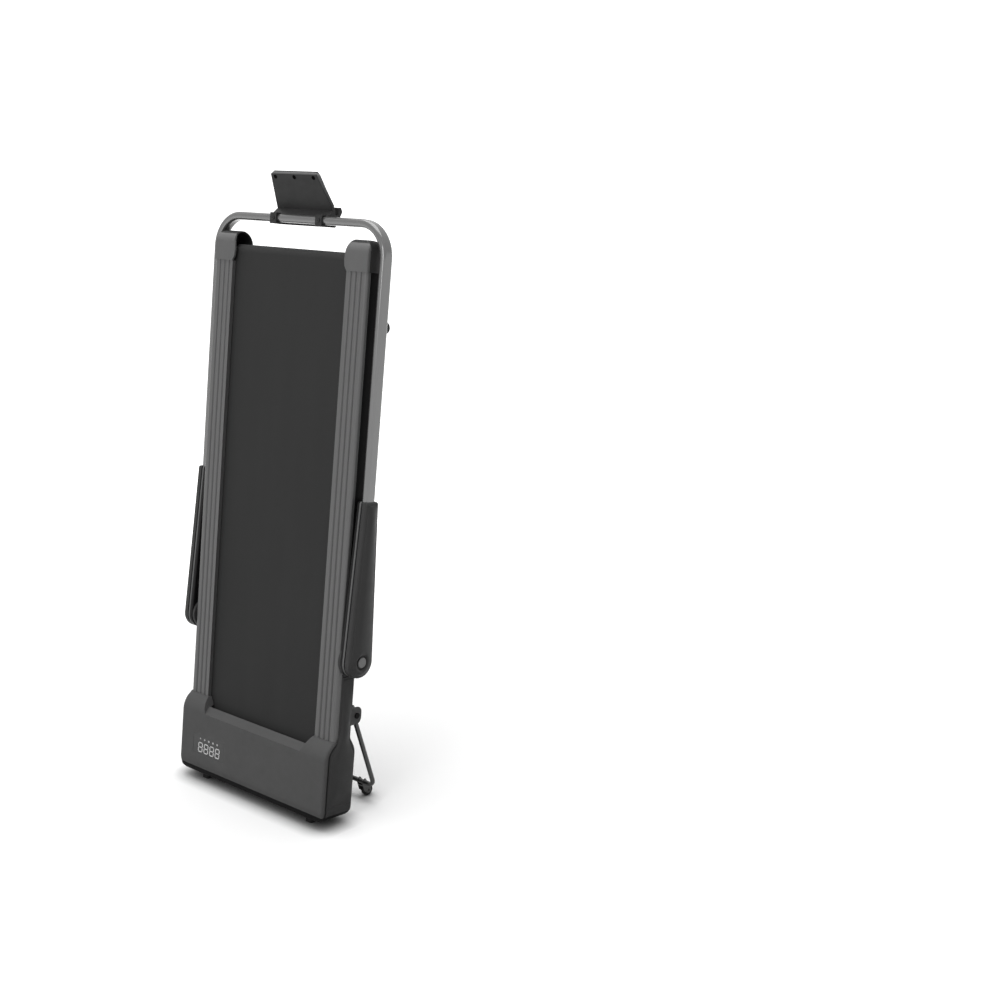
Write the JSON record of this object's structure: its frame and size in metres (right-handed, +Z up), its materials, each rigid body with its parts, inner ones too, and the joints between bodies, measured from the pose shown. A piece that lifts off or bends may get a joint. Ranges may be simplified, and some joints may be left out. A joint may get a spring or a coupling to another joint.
{
  "type": "walking pad",
  "caption": "Flat motorised walking pad stood on its motor end, leaning back on a wheeled kick stand, with a hinged U-shaped handrail that carries a tablet cradle.",
  "frame": {"origin": "middle of the bounding box at floor level, under the leaning deck", "axes": "+Z up, -Y the way the walking side of the belt faces, +X to the right of someone who looks at the belt"},
  "size_m": [0.6228, 0.2946, 1.5598],
  "materials": {
    "frame_steel": "black powder coat",
    "bar_steel": "dark grey paint",
    "rail_metal": "dark grey anodised, satin",
    "cap_plastic": "grey moulded, fine texture",
    "cover_plastic": "dark grey moulded, fine texture",
    "side_plastic": "near-black moulded, fine texture",
    "sleeve_plastic": "dark moulded, fine texture",
    "window_plastic": "smoked, semi-gloss",
    "tube_metal": "silver grey metallic paint",
    "belt_cover": "dark grey, fine weave texture",
    "foot_rubber": "black, matte",
    "board_wood": "laminated board, waxed",
    "bright_steel": "plated steel",
    "motor_metal": "black paint",
    "sink_metal": "plain extruded",
    "board_plastic": "green circuit board",
    "switch_plastic": "black, glossy",
    "rocker_plastic": "red, glossy"
  },
  "bodies": {
    "deck": {"belly_pan": "side_plastic", "controller_board": "board_plastic", "deck_bolts": "bright_steel", "deck_cushions": "foot_rubber", "display_board": "board_plastic", "display_window": "window_plastic", "drive_belt": "belt_cover", "end_bumper": "side_plastic", "end_feet": "foot_rubber", "front_axle": "bright_steel", "front_cross_bar": "bar_steel", "heat_sink": "sink_metal", "housing_screws": "bright_steel", "left_end_cap": "cap_plastic", "left_foot_rail": "rail_metal", "left_frame_member": "frame_steel", "left_pivot_bracket": "frame_steel", "left_side_cover": "side_plastic", "left_stand_bracket": "frame_steel", "mains_inlet": "switch_plastic", "motor_case": "motor_metal", "motor_cover": "cover_plastic", "motor_tray": "motor_metal", "pivot_bolts": "bright_steel", "rear_axle": "bright_steel", "rear_cross_bar": "bar_steel", "right_end_cap": "cap_plastic", "right_foot_rail": "rail_metal", "right_frame_member": "frame_steel", "right_pivot_bracket": "frame_steel", "right_side_cover": "side_plastic", "right_stand_bracket": "frame_steel", "rubber_feet": "foot_rubber", "running_belt": "belt_cover", "running_board": "board_wood", "stand_pins": "bright_steel", "strut_guide": "frame_steel", "switch_case": "switch_plastic", "tension_bolts": "bright_steel"},
    "handrail": {"handrail_tube": "tube_metal", "left_arm_inner_cover": "sleeve_plastic", "right_arm_inner_cover": "sleeve_plastic", "left_arm_outer_cover": "sleeve_plastic", "right_arm_outer_cover": "sleeve_plastic", "tablet_cradle": "sleeve_plastic", "cradle_clamps": "sleeve_plastic", "clamp_screws": "bright_steel"},
    "front_roller_set": {"front_roller": "bright_steel", "front_bearings": "bright_steel", "roller_pulley": "bright_steel"},
    "rear_roller_set": {"rear_roller": "bright_steel", "rear_bearings": "bright_steel"},
    "rotor": {"motor_rotor": "bright_steel"},
    "stand": {"stand_frame": "frame_steel", "wheel_forks": "frame_steel"},
    "left_wheel": {"left_stand_wheel": "foot_rubber"},
    "right_wheel": {"right_stand_wheel": "foot_rubber"},
    "strut": {"stand_strut": "bright_steel"},
    "rocker": {"switch_rocker": "rocker_plastic"}
  },
  "joints": [
    {"name": "handrail_fold", "type": "hinge", "parent": "deck", "child": "handrail", "pos_m": [0, -0.03758, 0.4207], "axis": [1, 0, 0], "range_deg": [0, 95]},
    {"name": "stand_fold", "type": "hinge", "parent": "deck", "child": "stand", "pos_m": [0, -0.00979, 0.26149], "axis": [-1, 0, 0], "range_deg": [0, 24.4]},
    {"name": "strut_swing", "type": "hinge", "parent": "stand", "child": "strut", "pos_m": [0, 0.05364, 0.05722], "axis": [-1, 0, 0], "range_deg": [0, 17.9]},
    {"name": "left_wheel_spin", "type": "hinge", "parent": "stand", "child": "left_wheel", "pos_m": [-0.201, 0.07617, 0.015], "axis": [1, 0, 0], "continuous": true},
    {"name": "right_wheel_spin", "type": "hinge", "parent": "stand", "child": "right_wheel", "pos_m": [0.201, 0.07617, 0.015], "axis": [1, 0, 0], "continuous": true},
    {"name": "front_roller_spin", "type": "hinge", "parent": "deck", "child": "front_roller_set", "pos_m": [0, -0.07343, 0.17731], "axis": [1, 0, 0], "continuous": true},
    {"name": "rear_roller_spin", "type": "hinge", "parent": "deck", "child": "rear_roller_set", "pos_m": [0, 0.08728, 1.35812], "axis": [1, 0, 0], "continuous": true},
    {"name": "rotor_spin", "type": "hinge", "parent": "deck", "child": "rotor", "pos_m": [0, -0.10235, 0.1005], "axis": [1, 0, 0], "continuous": true},
    {"name": "rocker_tilt", "type": "hinge", "parent": "deck", "child": "rocker", "pos_m": [-0.081, -0.09564, 0.01633], "axis": [0, 0.9909, -0.1349], "range_deg": [0, 15]}
  ],
  "couplings": [
    {"joint": "strut_swing", "follows": "stand_fold", "ratio": 0.73144},
    {"joint": "rear_roller_spin", "follows": "front_roller_spin", "ratio": 1},
    {"joint": "rotor_spin", "follows": "front_roller_spin", "ratio": 2}
  ]
}
